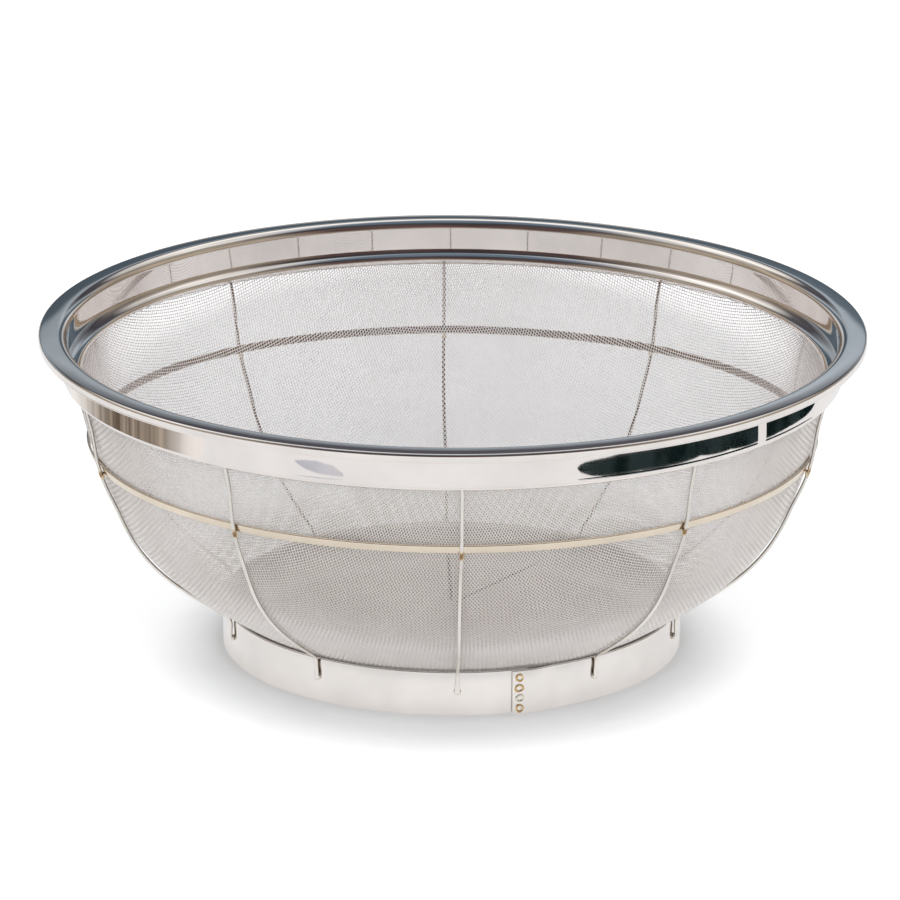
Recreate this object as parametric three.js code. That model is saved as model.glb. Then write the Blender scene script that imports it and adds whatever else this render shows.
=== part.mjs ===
// A wire-mesh colander: a woven bowl clamped in a rolled rim, belted, ribbed with wires and set on a foot ring.
// Millimetres, +Z up, origin on the table under the middle of the bowl, the front towards -Y.
import * as THREE from 'three';

// Fits
const CLEARANCE = 0.35; // between neighbouring pieces

// Rim: a stamped band with lip, inner wall and bead, and a skirt outside it
const RIM_RADIUS = 160; // outer edge of the lip
const HEIGHT = 127; // table to the top of the lip
const RIM_SHEET = 0.7;
const LIP_WIDTH = 8.6; // outer edge of the lip to the inner wall
const LIP_EDGE = 2.8; // depth of the turned-down edge
const LIP_RETURN = 2.4; // how far the turned edge comes back in underneath
const LIP_BEND = 3.2; // radius of the bend from the lip down into the inner wall
const RIM_BEND = 1; // radius of the strip's other bends
const WALL_DROP = 12.2; // top of the lip to the start of the bead
const WALL_LEAN = 1.2; // how far the inner wall leans in over its drop
const BEAD_DEPTH = 4.6; // how far the bead steps in
const BEAD_HEIGHT = 4.2;
const BEAD_ROUND = 2.8; // height of the bead's rounded shoulder
const HEM_HEIGHT = 2.6; // the skirt's turned-in lower edge
const HEM_DEPTH = 3;

// Bowl of woven wire, as a shell of the weave's full thickness with a coarse grid of openings
const MESH_THICKNESS = 0.8;
const MESH_TUCK = 2; // length of mesh that is clamped behind the bead
const WALL_FOOT_ANGLE = 33; // degrees from level where the wall leaves the foot
const WALL_TOP_ANGLE = 76.6; // degrees from level where it enters the rim
const WALL_FOOT_PULL = 46; // handle lengths of the wall's curve
const WALL_TOP_PULL = 61;
const FLOOR_CORNER = 30; // radius between the wall and the flat floor
const OPEN_SHARE = 0.7; // part of each step of the grid that is open
const FLOOR_DISC = 20; // radius of the closed middle of the floor
const FLOOR_ROWS = 2; // rows of openings from there to the foot
const LOWER_ROWS = 3; // rows of openings from the foot to the belt
const UPPER_ROWS = 1; // rows of openings from the belt to the rim
const OPENINGS_PER_RIB = 2; // openings in a row from one rib to the next

// Belt, ribs and foot
const BELT_LEVEL = 83.3; // height of the belt's middle
const BELT_WIDTH = 2.7;
const BELT_THICKNESS = 1;
const RIB_COUNT = 10;
const RIB_DIAMETER = 1.4;
const RIB_STEP = 18; // height over which a rib rises from the mesh to pass over the belt
const RIB_HOOK = 8; // length of rib that lies on the foot's outer face
const FOOT_RADIUS = 89.6;
const FOOT_HEIGHT = 17.5;
const FOOT_STRIP = 1;
const LAP_ANGLE = 13.4; // degrees right of the front to the free edge of the foot's lap
const LAP_LENGTH = 9;

// Fineness of the facets
const RING_STEPS = 60; // a multiple of the rib count, so that every rib lies on a facet edge
const BEND_STEPS = 3;
const RIB_STEPS = 24;
const RIB_SIDES = 8;

const radians = THREE.MathUtils.degToRad;
const point = (radius, height) => new THREE.Vector2(radius, height);

const polishedSteel = { color: 0xd6d3cc, metalness: 1, roughness: 0.12 };
const wireSteel = { color: 0xc9c2b6, metalness: 1, roughness: 0.3 };
const meshSteel = { color: 0xc4c0bb, metalness: 1, roughness: 0.4 };
const beltSteel = { color: 0xd8c8a6, metalness: 1, roughness: 0.25 };

// Points on a quarter of an ellipse, from its start on one axis to its end on the other
function quarter(start, corner, end) {
  const centre = start.clone().add(end).sub(corner);
  return Array.from({ length: BEND_STEPS + 1 }, (_, step) => {
    const turn = (step / BEND_STEPS) * (Math.PI / 2);
    const along = start.clone().sub(centre).multiplyScalar(Math.cos(turn));
    return along.add(end.clone().sub(centre).multiplyScalar(Math.sin(turn))).add(centre);
  });
}

// A polyline moved sideways, to the right of its direction, with mitred corners
function offset(line, distance) {
  return line.map((here, index) => {
    const before = line[Math.max(index - 1, 0)];
    const after = line[Math.min(index + 1, line.length - 1)];
    const arriving = here.clone().sub(index > 0 ? before : here.clone().multiplyScalar(2).sub(after)).normalize();
    const leaving = (index < line.length - 1 ? after.clone().sub(here) : arriving.clone()).normalize();
    const middle = arriving.clone().add(leaving).normalize();
    const mitre = distance / Math.max(middle.dot(arriving), 0.5);
    return here.clone().add(point(middle.y, -middle.x).multiplyScalar(mitre));
  });
}

// The closed section of a strip whose middle follows a polyline
function strip(line, thickness) {
  const right = offset(line, thickness / 2);
  const left = offset(line, -thickness / 2);
  return [...right, ...left.reverse(), right[0].clone()];
}

// A ring or bowl turned about Z, with its first column towards -Y
function turned(section) {
  const loop = THREE.ShapeUtils.area(section) < 0 ? [...section].reverse() : section;
  return new THREE.LatheGeometry(loop, RING_STEPS).rotateX(Math.PI / 2);
}

// Rim, from the top down
const wallRadius = RIM_RADIUS - LIP_WIDTH;
const wallFoot = point(wallRadius - WALL_LEAN, HEIGHT - WALL_DROP);
const beadRadius = wallFoot.x - BEAD_DEPTH;
const beadEnd = point(beadRadius, wallFoot.y - BEAD_HEIGHT);

function rimBand() {
  const edge = RIM_RADIUS - RIM_SHEET / 2;
  const top = HEIGHT - RIM_SHEET / 2;
  const turn = Math.min(RIM_BEND, LIP_EDGE / 2);
  const line = [
    point(edge - LIP_RETURN, top - LIP_EDGE),
    ...quarter(point(edge - turn, top - LIP_EDGE), point(edge, top - LIP_EDGE), point(edge, top - LIP_EDGE + turn)),
    ...quarter(point(edge, top - turn), point(edge, top), point(edge - turn, top)),
    ...quarter(point(wallRadius + LIP_BEND, top), point(wallRadius, top), point(wallRadius, top - LIP_BEND)),
    ...quarter(wallFoot, point(beadRadius, wallFoot.y), point(beadRadius, wallFoot.y - BEAD_ROUND)),
    beadEnd,
  ];
  const apart = (here, index) => index === 0 || here.distanceTo(line[index - 1]) > RIM_SHEET / 10;
  return turned(strip(line.filter(apart), RIM_SHEET));
}

// The skirt runs beside the inner wall from the lip's bend down, then turns in below it
const skirtGap = RIM_SHEET + CLEARANCE;
const skirtSlope = WALL_LEAN / (WALL_DROP - RIM_SHEET / 2 - LIP_BEND);
const skirtRadius = (height) => wallFoot.x + skirtGap + (height - wallFoot.y) * skirtSlope;
const hemBottom = beadEnd.y - RIM_SHEET / 2;

function rimSkirt() {
  const hemTop = point(skirtRadius(hemBottom + HEM_HEIGHT), hemBottom + HEM_HEIGHT);
  const upper = HEIGHT - RIM_SHEET / 2 - LIP_BEND;
  const line = [
    point(skirtRadius(upper), upper),
    ...quarter(hemTop, point(hemTop.x, hemBottom), point(hemTop.x - HEM_DEPTH, hemBottom)),
  ];
  return turned(strip(line, RIM_SHEET));
}

// The bowl's outer wall, from its seat on the foot to the bead that clamps it
const footAngle = radians(WALL_FOOT_ANGLE);
const topAngle = radians(WALL_TOP_ANGLE);
const wallStart = point(FOOT_RADIUS - FOOT_STRIP, FOOT_HEIGHT + CLEARANCE / Math.cos(footAngle));
const wallEnd = point(beadRadius + RIM_SHEET / 2 + CLEARANCE + MESH_THICKNESS, beadEnd.y);
const wall = new THREE.CubicBezierCurve(
  wallStart,
  point(WALL_FOOT_PULL * Math.cos(footAngle), WALL_FOOT_PULL * Math.sin(footAngle)).add(wallStart),
  point(-WALL_TOP_PULL * Math.cos(topAngle), -WALL_TOP_PULL * Math.sin(topAngle)).add(wallEnd),
  wallEnd,
);

// Where on the wall's curve a measure that grows along it reaches a value
function wallAt(measure, value) {
  let low = 0;
  let high = 1;
  while (high - low > 1e-6) {
    const middle = (low + high) / 2;
    if (measure(middle) < value) low = middle;
    else high = middle;
  }
  return low;
}

// A point beside the wall, out along its normal
function besideWall(share, distance) {
  const along = wall.getTangent(share);
  return wall.getPoint(share).add(point(along.y, -along.x).multiplyScalar(distance));
}

const beltShare = wallAt((share) => wall.getPoint(share).y, BELT_LEVEL);

// The grid's columns: the facet edges of the turned pieces, and both sides of every bar between openings
function gridColumns() {
  const step = (2 * Math.PI) / RING_STEPS;
  const openings = RIB_COUNT * OPENINGS_PER_RIB;
  const pitch = (2 * Math.PI) / openings;
  const halfBar = ((1 - OPEN_SHARE) * pitch) / 2;
  const facetEdges = Array.from({ length: RING_STEPS }, (_, index) => index * step);
  const barSides = Array.from({ length: openings }, (_, index) => {
    return [index * pitch + halfBar, (index + 1) * pitch - halfBar];
  });
  const angles = [...facetEdges, ...barSides.flat()].sort((a, b) => a - b);
  const apart = angles.filter((angle, index) => index === 0 || angle - angles[index - 1] > step / 1000);
  return apart.map((angle, index) => {
    const middle = (angle + (apart[index + 1] ?? 2 * Math.PI)) / 2;
    const fromBar = Math.abs(middle - Math.round(middle / pitch) * pitch);
    const facet = Math.cos(step / 2) / Math.cos((angle % step) - step / 2);
    return { across: facet * Math.sin(angle), front: facet * Math.cos(angle), open: fromBar > halfBar };
  });
}

// Rows of openings on a stretch of the bowl's profile: each is open in its middle and closed at its ends
function openRows(count, from, to, placeAt) {
  const halfBar = (1 - OPEN_SHARE) / 2;
  const rows = Array.from({ length: count }, (_, row) => [halfBar, 1 / 2, 1 - halfBar].map((share) => ({
    place: placeAt(from + ((to - from) * (row + share)) / count),
    open: share < 1 - halfBar,
  })));
  return rows.flat();
}

// A turned shell with openings where an open row meets an open column, and a wall round each opening
function lattice(rows, thickness, columns) {
  const outside = rows.map(({ place }) => place);
  const inside = offset(outside, -thickness);
  const at = (line, row, column) => {
    const { across, front } = columns[column % columns.length];
    return new THREE.Vector3(line[row].x * across, -line[row].x * front, line[row].y);
  };
  const last = rows.length - 1;
  const isOpen = (row, column) => {
    return row === last || (row >= 0 && rows[row].open && columns[column % columns.length].open);
  };
  const corners = [];
  const quad = (a, b, c, d) => {
    if (!a.equals(b)) corners.push(a, b, c);
    if (!c.equals(d)) corners.push(a, c, d);
  };
  for (let row = 0; row < last; row += 1) {
    for (let column = 0; column < columns.length; column += 1) {
      if (isOpen(row, column)) continue;
      const loop = [[row, column], [row, column + 1], [row + 1, column + 1], [row + 1, column]];
      const outer = loop.map(([r, c]) => at(outside, r, c));
      const inner = loop.map(([r, c]) => at(inside, r, c));
      quad(...outer);
      quad(inner[3], inner[2], inner[1], inner[0]);
      const beyond = [[row - 1, column], [row, column + 1], [row + 1, column], [row, column + columns.length - 1]];
      beyond.forEach(([r, c], side) => {
        const next = (side + 1) % 4;
        if (isOpen(r, c)) quad(outer[side], inner[side], inner[next], outer[next]);
      });
    }
  }
  return new THREE.BufferGeometry().setFromPoints(corners);
}

function meshBowl() {
  const rise = FLOOR_CORNER * (1 - Math.cos(footAngle));
  const flat = wallStart.x - FLOOR_CORNER * Math.sin(footAngle);
  const floor = wallStart.y - rise;
  const base = new THREE.Path().moveTo(FLOOR_DISC, floor).lineTo(flat, floor);
  base.absarc(flat, floor + FLOOR_CORNER, FLOOR_CORNER, -Math.PI / 2, footAngle - Math.PI / 2);
  const tuck = wall.getTangent(1).multiplyScalar(MESH_TUCK).add(wallEnd);
  const onWall = (share) => wall.getPoint(share);
  const closed = (place) => ({ place, open: false });
  const rows = [
    closed(point(0, floor)),
    closed(point(FLOOR_DISC, floor)),
    ...openRows(FLOOR_ROWS, 0, 1, (share) => base.getPoint(share)),
    closed(wallStart),
    ...openRows(LOWER_ROWS, 0, beltShare, onWall),
    closed(onWall(beltShare)),
    ...openRows(UPPER_ROWS, beltShare, 1, onWall),
    closed(wallEnd),
    closed(tuck),
  ];
  return lattice(rows, MESH_THICKNESS, gridColumns());
}

function beltBand() {
  const middle = besideWall(beltShare, CLEARANCE + BELT_THICKNESS / 2);
  const half = wall.getTangent(beltShare).multiplyScalar(BELT_WIDTH / 2);
  return turned(strip([middle.clone().sub(half), middle.clone().add(half)], BELT_THICKNESS));
}

// A curve through chosen points, with one step of an extrusion between each pair
class PointPath extends THREE.Curve {
  constructor(points) {
    super();
    this.points = points;
  }

  getUtoTmapping(share) {
    return share;
  }

  getPoint(share, target = new THREE.Vector3()) {
    const place = share * (this.points.length - 1);
    const index = Math.min(Math.floor(place), this.points.length - 2);
    return target.lerpVectors(this.points[index], this.points[index + 1], place - index);
  }
}

// The middle of a rib's wire beside the wall: near the mesh, and raised where it passes over the belt
function ribPoint(share) {
  const away = Math.min(Math.abs(wall.getPoint(share).y - BELT_LEVEL) / RIB_STEP, 1);
  const raise = (1 - away * away) ** 2 * (BELT_THICKNESS + CLEARANCE);
  return besideWall(share, CLEARANCE + RIB_DIAMETER / 2 + raise);
}

// A rib runs from under the rim's hem over the belt to the foot, and ends bent down on the foot's outer face
function rib() {
  const hookRadius = FOOT_RADIUS + CLEARANCE + RIB_DIAMETER / 2;
  const ribTop = hemBottom - RIM_SHEET / 2 - CLEARANCE - RIB_DIAMETER / 4;
  const topShare = wallAt((share) => ribPoint(share).y, ribTop);
  const footShare = wallAt((share) => ribPoint(share).x, hookRadius + 2 * RIB_DIAMETER);
  const line = Array.from({ length: RIB_STEPS + 1 }, (_, step) => {
    return ribPoint(topShare + ((footShare - topShare) * step) / RIB_STEPS);
  });
  const last = line.at(-1);
  const bendHeight = last.y - (last.x - hookRadius) * Math.tan(footAngle);
  const bend = new THREE.QuadraticBezierCurve(
    last,
    point(hookRadius, bendHeight),
    point(hookRadius, bendHeight - 2 * RIB_DIAMETER),
  );
  line.push(...bend.getPoints(BEND_STEPS).slice(1), point(hookRadius, FOOT_HEIGHT - RIB_HOOK));
  const path = new PointPath(line.map((place) => new THREE.Vector3(0, -place.x, place.y)));
  const section = new THREE.Shape().absarc(0, 0, RIB_DIAMETER / 2, 0, 2 * Math.PI);
  return new THREE.ExtrudeGeometry(section, {
    extrudePath: path,
    steps: line.length - 1,
    curveSegments: RIB_SIDES / 2,
  });
}

// The foot is one strip rolled into a ring, with its outer end lapped over its inner end
function footRing() {
  const step = 360 / RING_STEPS;
  const lap = THREE.MathUtils.radToDeg(LAP_LENGTH / FOOT_RADIUS);
  const lapEnd = LAP_ANGLE + lap;
  const firstColumn = Math.ceil(lapEnd / step) + 1;
  const stations = [
    { angle: LAP_ANGLE, lift: 1 },
    { angle: lapEnd, lift: 1 },
  ];
  for (let column = firstColumn; column * step < 360 + LAP_ANGLE; column += 1) {
    stations.push({ angle: column * step, lift: 0 });
  }
  stations.push({ angle: 360 + lapEnd - step / 4, lift: 0 });
  const lapLift = FOOT_STRIP + CLEARANCE;
  const plan = (radius) => stations.map(({ angle, lift }) => {
    const reach = radius + lift * lapLift;
    return point(reach * Math.sin(radians(angle)), -reach * Math.cos(radians(angle)));
  });
  const outline = new THREE.Shape([...plan(FOOT_RADIUS), ...plan(FOOT_RADIUS - FOOT_STRIP).reverse()]);
  return new THREE.ExtrudeGeometry(outline, { depth: FOOT_HEIGHT, bevelEnabled: false });
}

const colander = new THREE.Group();

function add(name, geometry, finish, turn = 0) {
  const mesh = new THREE.Mesh(geometry, new THREE.MeshStandardMaterial(finish));
  mesh.name = name;
  mesh.rotation.z = turn;
  colander.add(mesh);
}

add('rim_band', rimBand(), polishedSteel);
add('rim_skirt', rimSkirt(), polishedSteel);
add('mesh_bowl', meshBowl(), meshSteel);
add('belt_band', beltBand(), beltSteel);
for (let index = 0; index < RIB_COUNT; index += 1) {
  const name = `rib_${String(index + 1).padStart(2, '0')}`;
  add(name, rib(), wireSteel, (index / RIB_COUNT) * 2 * Math.PI);
}
add('foot_ring', footRing(), polishedSteel);

export default colander;
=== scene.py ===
"""Looks of a wire-mesh colander: woven bowl, rim, belt, ribs, foot and welds, on a white studio floor."""
import math

import bpy
import numpy as np
from mathutils import Matrix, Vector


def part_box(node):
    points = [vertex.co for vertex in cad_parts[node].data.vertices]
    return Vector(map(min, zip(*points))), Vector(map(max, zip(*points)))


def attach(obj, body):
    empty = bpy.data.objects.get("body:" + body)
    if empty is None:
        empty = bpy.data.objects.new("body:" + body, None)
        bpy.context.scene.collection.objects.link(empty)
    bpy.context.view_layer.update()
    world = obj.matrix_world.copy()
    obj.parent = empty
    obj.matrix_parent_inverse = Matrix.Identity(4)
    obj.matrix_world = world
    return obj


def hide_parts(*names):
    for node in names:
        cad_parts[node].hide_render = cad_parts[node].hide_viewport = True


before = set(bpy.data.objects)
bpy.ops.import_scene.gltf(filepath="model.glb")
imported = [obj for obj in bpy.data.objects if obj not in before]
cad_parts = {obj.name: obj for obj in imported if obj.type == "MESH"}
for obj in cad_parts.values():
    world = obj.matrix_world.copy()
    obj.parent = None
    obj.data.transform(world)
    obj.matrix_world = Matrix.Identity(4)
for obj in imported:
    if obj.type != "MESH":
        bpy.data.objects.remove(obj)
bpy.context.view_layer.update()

# Sizes, in metres, worked out from the frame where the frame holds them
MM = 0.001
RIM_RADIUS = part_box("rim_band")[1].x
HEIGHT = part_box("rim_band")[1].z
FOOT_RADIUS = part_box("foot_ring")[1].x
FOOT_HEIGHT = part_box("foot_ring")[1].z
RIM_SHEET = 0.7 * MM
LIP_WIDTH = 8.6 * MM
LIP_EDGE = 2.8 * MM
LIP_RETURN = 2.4 * MM
LIP_BEND = 3.2 * MM
WALL_INSET = 2.0 * MM  # the shown inner wall stands this much nearer the axis, under a wider lip
LIP_CROWN = 0.4 * MM
RIM_BEND = 0.6 * MM
WALL_DROP = 12.2 * MM
WALL_LEAN = 1.2 * MM
WALL_EASE = 0.8 * MM
BEAD_DEPTH = 4.6 * MM
BEAD_HEIGHT = 4.2 * MM
BEAD_ROUND = 2.8 * MM
HEM_HEIGHT = 2.6 * MM
HEM_DEPTH = 3.0 * MM
HEM_SAG = 0.8 * MM
CLEARANCE = 0.35 * MM
MESH_THICKNESS = 0.8 * MM
MESH_TUCK = 2.0 * MM
WALL_FOOT_ANGLE = math.radians(33)
WALL_TOP_ANGLE = math.radians(76.6)
WALL_FOOT_PULL = 46 * MM
WALL_TOP_PULL = 61 * MM
FLOOR_CORNER = 30 * MM
BELT_LEVEL = 83.3 * MM
BELT_WIDTH = 3.1 * MM
BELT_RISE = 1.2 * MM  # the belt stands this much higher at the front than at the back
BELT_THICKNESS = 1.0 * MM
RIB_COUNT = 10
RIB_DIAMETER = 1.4 * MM
RIB_STEP = 18.0 * MM
RIB_HOOK = 8.0 * MM
RIB_SWAY = 0.35 * MM
RIB_SIDES = 12
FOOT_STRIP = 1.0 * MM
BELT_EDGE = 0.3 * MM  # round edge of the belt strip
LAP_ANGLE = math.radians(13.4)
LAP_LENGTH = 9.0 * MM
WIRE_PITCH = 1.2 * MM
WIRE_DIAMETER = 0.31 * MM
WIRE_BIAS = math.radians(45)  # the weave's threads run across the front at this angle
WEAVE_PIECES = 4  # objects that each of the two families of threads is split into
SHADE_LINE_ANGLES = (math.radians(180), math.radians(144))  # where two lines of painted shade run out over the floor

COLUMNS = 360  # columns of a turned ring


# Shapes in the section plane, as arrays of (radius, height)
def quarter(start, corner, end, steps=10):
    """A quarter of an ellipse from start to end, tangent to the two sides that meet at corner."""
    start, corner, end = (np.asarray(p, float) for p in (start, corner, end))
    centre = start + end - corner
    turn = np.linspace(0, np.pi / 2, steps + 1)[:, None]
    return centre + (start - centre) * np.cos(turn) + (end - centre) * np.sin(turn)


def dense(line, step):
    """The polyline with points added on its long stretches, so that no stretch is longer than the step."""
    parts = [line[:1]]
    for start, end in zip(line[:-1], line[1:]):
        count = max(math.ceil(np.linalg.norm(end - start) / step), 1)
        parts.append(start + (end - start) * np.linspace(0, 1, count + 1)[1:, None])
    return np.vstack(parts)


def offset(line, distance):
    """The polyline moved to the right of its direction by the distance, with mitred corners."""
    step = np.diff(line, axis=0)
    step /= np.linalg.norm(step, axis=1)[:, None]
    arriving = np.vstack([step[:1], step])
    leaving = np.vstack([step, step[-1:]])
    middle = arriving + leaving
    middle /= np.linalg.norm(middle, axis=1)[:, None]
    mitre = distance / np.maximum((middle * arriving).sum(1), 0.5)
    return line + np.stack([middle[:, 1], -middle[:, 0]], 1) * mitre[:, None]


def strip(line, thickness):
    """The closed section of a strip whose middle follows the polyline."""
    return np.vstack([offset(line, thickness / 2), offset(line, -thickness / 2)[::-1]])


# Meshes
def new_piece(name, vertices, faces, material, sharp=40):
    """A mesh object from arrays: vertices (n, 3) and quads (m, 4), with edges sharp past the sharp angle."""
    mesh = bpy.data.meshes.new(name)
    mesh.vertices.add(len(vertices))
    mesh.vertices.foreach_set("co", np.ascontiguousarray(vertices, np.float32).ravel())
    mesh.loops.add(faces.size)
    mesh.loops.foreach_set("vertex_index", np.ascontiguousarray(faces, np.int32).ravel())
    mesh.polygons.add(len(faces))
    mesh.polygons.foreach_set("loop_start", np.arange(0, faces.size, faces.shape[1], dtype=np.int32))
    mesh.polygons.foreach_set("use_smooth", np.ones(len(faces), bool))
    mesh.update(calc_edges=True)
    mesh.validate()
    if sharp:
        mesh.set_sharp_from_angle(angle=math.radians(sharp))
    mesh.materials.append(material)
    piece = bpy.data.objects.new(name, mesh)
    bpy.context.scene.collection.objects.link(piece)
    return piece


def grid_faces(rows, columns, wrap_rows, wrap_columns):
    """Quads of a rows by columns grid of vertices, joined round at the ends where asked."""
    r = np.arange(rows if wrap_rows else rows - 1)
    c = np.arange(columns if wrap_columns else columns - 1)
    r, c = (a.ravel() for a in np.meshgrid(r, c, indexing="ij"))
    r2, c2 = (r + 1) % rows, (c + 1) % columns
    return np.stack([r * columns + c, r2 * columns + c, r2 * columns + c2, r * columns + c2], 1)


def around(section, angles):
    """Every point of a section at every angle: right of the front is positive, the front is -Y."""
    r, z = section[:, 0], section[:, 1]
    x = np.sin(angles)[:, None] * r
    y = -np.cos(angles)[:, None] * r
    return np.stack([x, y, np.broadcast_to(z, x.shape)], -1)


def turned(name, section, material, sharp=40):
    """A closed section turned about Z in COLUMNS steps."""
    angles = np.linspace(0, 2 * np.pi, COLUMNS, endpoint=False)
    points = around(section, angles)
    faces = grid_faces(COLUMNS, len(section), True, True)
    return new_piece(name, points.reshape(-1, 3), faces, material, sharp)


# Rim section, from the top down
wall_radius = RIM_RADIUS - LIP_WIDTH
wall_foot = np.array([wall_radius - WALL_LEAN, HEIGHT - WALL_DROP])
bead_radius = wall_foot[0] - BEAD_DEPTH
bead_end = np.array([bead_radius, wall_foot[1] - BEAD_HEIGHT])
hem_bottom = bead_end[1] - RIM_SHEET / 2


def rim_band_section():
    """Lip edge, lip, inner wall and bead as one strip."""
    edge = RIM_RADIUS - RIM_SHEET / 2
    top = HEIGHT - RIM_SHEET / 2
    low = top - LIP_EDGE
    turn = min(RIM_BEND, LIP_EDGE / 2)
    wall = wall_radius - WALL_INSET
    bead = bead_radius - WALL_INSET
    foot = wall_foot - (WALL_INSET, 0)
    line = np.vstack([
        [edge - LIP_RETURN, low],
        quarter((edge - turn, low), (edge, low), (edge, low + turn)),
        quarter((edge, top - turn), (edge, top), (edge - turn, top)),
        quarter((wall + LIP_BEND, top), (wall, top), (wall, top - LIP_BEND), 20),
        quarter(foot + (WALL_EASE, 0), (bead, foot[1]), (bead, foot[1] - BEAD_ROUND), 16),
        bead_end,
    ])
    apart = np.r_[True, np.linalg.norm(np.diff(line, axis=0), axis=1) > RIM_SHEET / 20]
    line = dense(line[apart], RIM_SHEET)
    crown = np.clip((line[:, 0] - wall - LIP_BEND) / (RIM_RADIUS - wall - LIP_BEND), 0, 1) ** 2
    return strip(line - crown[:, None] * (0, LIP_CROWN), RIM_SHEET)


def rim_skirt_section():
    """The skirt beside the inner wall, with its hem turned in below."""
    slope = WALL_LEAN / (WALL_DROP - RIM_SHEET / 2 - LIP_BEND)

    def radius(height):
        return wall_foot[0] + RIM_SHEET + CLEARANCE + (height - wall_foot[1]) * slope

    upper = HEIGHT - RIM_SHEET / 2 - LIP_BEND
    low = hem_bottom - HEM_SAG
    hem_top = np.array([radius(low + HEM_HEIGHT), low + HEM_HEIGHT])
    line = np.vstack([
        [radius(upper), upper],
        quarter(hem_top, (hem_top[0], low), (hem_top[0] - HEM_DEPTH, low)),
    ])
    return strip(dense(line, RIM_SHEET), RIM_SHEET)


# The bowl's outer wall, as one cubic curve from the foot to the bead
wall_start = np.array([FOOT_RADIUS - FOOT_STRIP, FOOT_HEIGHT + CLEARANCE / math.cos(WALL_FOOT_ANGLE)])
wall_end = np.array([bead_radius + RIM_SHEET / 2 + CLEARANCE + MESH_THICKNESS, bead_end[1]])
wall_handles = (
    wall_start,
    wall_start + WALL_FOOT_PULL * np.array([math.cos(WALL_FOOT_ANGLE), math.sin(WALL_FOOT_ANGLE)]),
    wall_end - WALL_TOP_PULL * np.array([math.cos(WALL_TOP_ANGLE), math.sin(WALL_TOP_ANGLE)]),
    wall_end,
)


def outward_at(angle):
    """The level outward direction at an angle right of the front."""
    return np.array([math.sin(angle), -math.cos(angle), 0])


def wall_points(share):
    """Points of the wall's curve at shares from 0, the foot, to 1, the rim."""
    s = np.asarray(share, float)[..., None]
    a, b, c, d = wall_handles
    return a * (1 - s) ** 3 + 3 * b * s * (1 - s) ** 2 + 3 * c * s * s * (1 - s) + d * s**3


def wall_beside(share, distance):
    """Points beside the wall, out along its normal."""
    s = np.asarray(share, float)[..., None]
    a, b, c, d = wall_handles
    along = (b - a) * (1 - s) ** 2 + 2 * (c - b) * s * (1 - s) + (d - c) * s * s
    along /= np.linalg.norm(along, axis=-1, keepdims=True)
    return wall_points(share) + np.stack([along[..., 1], -along[..., 0]], -1) * distance


fine_share = np.linspace(0, 1, 2001)
belt_share = np.interp(BELT_LEVEL, wall_points(fine_share)[:, 1], fine_share)


def bowl_profile():
    """The middle of the weave from the axis to its clamped edge: height against radius."""
    flat = wall_start[0] - FLOOR_CORNER * math.sin(WALL_FOOT_ANGLE)
    floor = wall_start[1] - FLOOR_CORNER * (1 - math.cos(WALL_FOOT_ANGLE))
    turn = np.linspace(0, WALL_FOOT_ANGLE, 60, endpoint=False)
    corner = np.stack([flat + FLOOR_CORNER * np.sin(turn), floor + FLOOR_CORNER * (1 - np.cos(turn))], 1)
    flat_part = np.stack([np.linspace(0, flat, 40, endpoint=False), np.full(40, floor)], 1)
    tip = wall_end + MESH_TUCK * np.array([math.cos(WALL_TOP_ANGLE), math.sin(WALL_TOP_ANGLE)])
    outside = np.vstack([flat_part, corner, wall_points(np.linspace(0, 1, 400)), tip])
    return offset(outside, -MESH_THICKNESS / 2)


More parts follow.
